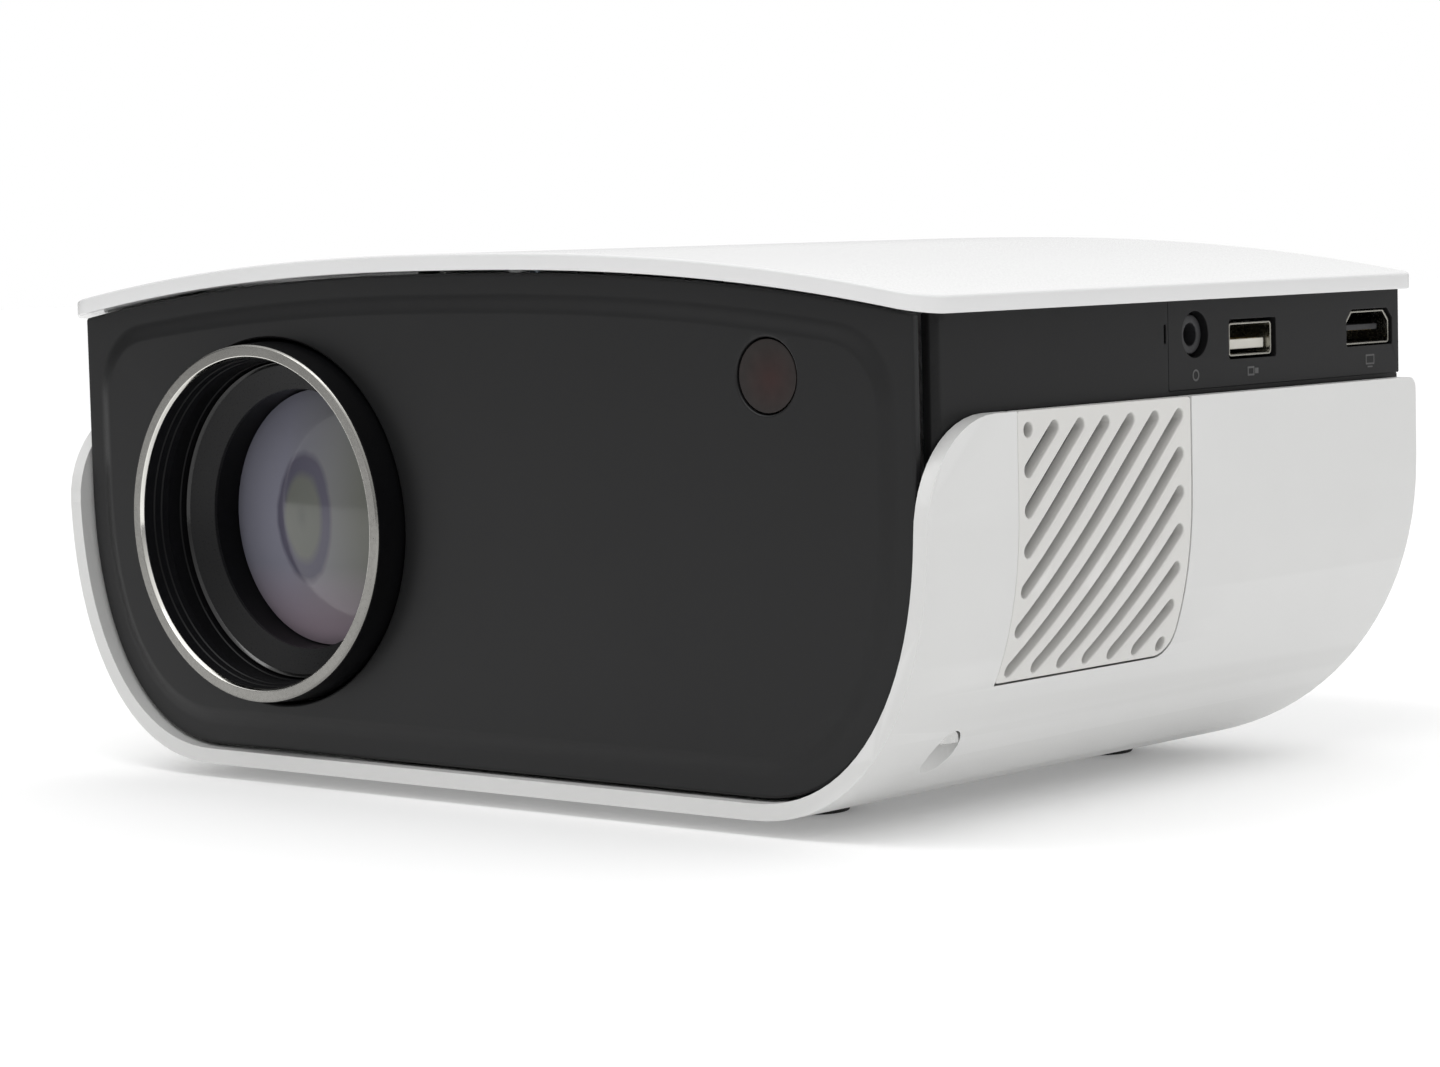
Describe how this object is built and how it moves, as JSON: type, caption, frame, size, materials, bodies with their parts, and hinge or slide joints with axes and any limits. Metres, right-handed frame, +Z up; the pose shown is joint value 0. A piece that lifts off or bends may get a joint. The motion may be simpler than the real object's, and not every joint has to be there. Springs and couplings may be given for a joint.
{
  "type": "home projector",
  "caption": "Compact home projector: white cradle shell round a dark body, arched white cover, large ringed lens, side sockets, side grilles and keys on top.",
  "frame": {"origin": "on the table, under the middle of the whole object", "axes": "+X to the right seen from the front, +Y to the back, +Z up; the lens looks along -Y"},
  "size_m": [0.19, 0.141, 0.0887],
  "materials": {
    "white_shell": "satin moulded white plastic",
    "white_grille": "satin warm white plastic",
    "white_cover": "glossy white plastic",
    "white_key": "glossy white key caps",
    "black_panel": "satin black, very fine texture",
    "black_body": "satin black plastic",
    "lens_black": "matt black lens barrel",
    "engine_black": "matt black glass-filled plastic",
    "chip_black": "black epoxy",
    "baffle_grey": "dark grey ring",
    "bright_ring": "bright plated ring",
    "lens_glass": "coated glass",
    "ir_filter": "dark red infrared filter",
    "rubber": "black rubber",
    "steel": "plated steel",
    "brass": "machined brass",
    "aluminium": "plain aluminium",
    "copper": "copper heat pipe",
    "mirror": "front-silvered glass",
    "lcd_glass": "liquid crystal panel",
    "polarizer_film": "grey polarising film on glass",
    "led_yellow": "phosphor-coated LED on a ceramic plate",
    "led_clear": "clear light pipe",
    "board_green": "green circuit board",
    "tongue_white": "white insulator",
    "ribbon_orange": "orange flexible circuit"
  },
  "bodies": {
    "root": {"lower_shell": "white_shell", "right_grille": "white_grille", "left_grille": "white_grille", "front_panel": "black_panel", "rear_panel": "black_body", "right_side_panel": "black_body", "left_side_panel": "black_body", "port_plate": "black_body", "top_cover": "white_cover", "case_screws": "steel", "rubber_feet": "rubber", "tripod_insert": "brass", "ir_window": "ir_filter", "ir_receiver": "chip_black", "lens_mount": "lens_black", "optics_box": "engine_black", "optics_lid": "engine_black", "engine_screws": "steel", "fold_mirror": "mirror", "field_lens": "lens_glass", "lcd_panel": "lcd_glass", "polarizer": "polarizer_film", "collimator_lens": "lens_glass", "condenser_lens": "lens_glass", "led_lamp": "led_yellow", "lamp_base": "aluminium", "heat_pipes": "copper", "radiator": "aluminium", "fan_frame": "engine_black", "speaker": "chip_black", "main_board": "board_green", "power_board": "board_green", "board_parts": "chip_black", "av_jack": "engine_black", "usb_socket": "steel", "usb_tongue": "tongue_white", "hdmi_socket": "steel", "hdmi_tongue": "engine_black", "power_inlet": "engine_black", "inlet_pins": "steel", "key_board": "board_green", "status_led": "led_clear", "lcd_ribbon": "ribbon_orange"},
    "focus_ring": {"focus_ring": "lens_black", "chrome_bezel": "bright_ring"},
    "lens_barrel": {"lens_barrel": "lens_black", "lens_baffle": "baffle_grey", "cam_pins": "brass", "front_lens": "lens_glass", "middle_lens": "lens_glass", "rear_lens": "lens_glass"},
    "fan_rotor": {"fan_rotor": "engine_black"},
    "tilt_foot": {"tilt_foot": "black_body"},
    "power_button": {"power_button": "white_key"},
    "key_ok": {"key_ok": "white_key"},
    "key_up": {"key_up": "white_key"},
    "key_down": {"key_down": "white_key"},
    "key_left": {"key_left": "white_key"},
    "key_right": {"key_right": "white_key"}
  },
  "joints": [
    {"name": "focus_turn", "type": "hinge", "parent": "root", "child": "focus_ring", "pos_m": [-0.044, -0.0665, 0.0444], "axis": [0, -1, 0], "range_deg": [-60, 60]},
    {"name": "barrel_slide", "type": "slide", "parent": "root", "child": "lens_barrel", "axis": [0, -1, 0], "range_m": [-0.003, 0.003]},
    {"name": "fan_spin", "type": "hinge", "parent": "root", "child": "fan_rotor", "pos_m": [0.0675, -0.02, 0.0415], "axis": [1, 0, 0], "continuous": true},
    {"name": "foot_screw", "type": "slide", "parent": "root", "child": "tilt_foot", "axis": [0, 0, -1], "range_m": [0, 0.01]},
    {"name": "power_button_press", "type": "slide", "parent": "root", "child": "power_button", "axis": [0, 0, -1], "range_m": [0, 0.0008], "stiffness_N_per_m": 600, "springref_m": -0.0005},
    {"name": "key_ok_press", "type": "slide", "parent": "root", "child": "key_ok", "axis": [0, 0, -1], "range_m": [0, 0.0008], "stiffness_N_per_m": 600, "springref_m": -0.0005},
    {"name": "key_up_press", "type": "slide", "parent": "root", "child": "key_up", "axis": [0, 0, -1], "range_m": [0, 0.0008], "stiffness_N_per_m": 600, "springref_m": -0.0005},
    {"name": "key_down_press", "type": "slide", "parent": "root", "child": "key_down", "axis": [0, 0, -1], "range_m": [0, 0.0008], "stiffness_N_per_m": 600, "springref_m": -0.0005},
    {"name": "key_left_press", "type": "slide", "parent": "root", "child": "key_left", "axis": [0, 0, -1], "range_m": [0, 0.0008], "stiffness_N_per_m": 600, "springref_m": -0.0005},
    {"name": "key_right_press", "type": "slide", "parent": "root", "child": "key_right", "axis": [0, 0, -1], "range_m": [0, 0.0008], "stiffness_N_per_m": 600, "springref_m": -0.0005}
  ],
  "couplings": [
    {"joint": "barrel_slide", "follows": "focus_turn", "m_per_rad": 0.0028647}
  ]
}
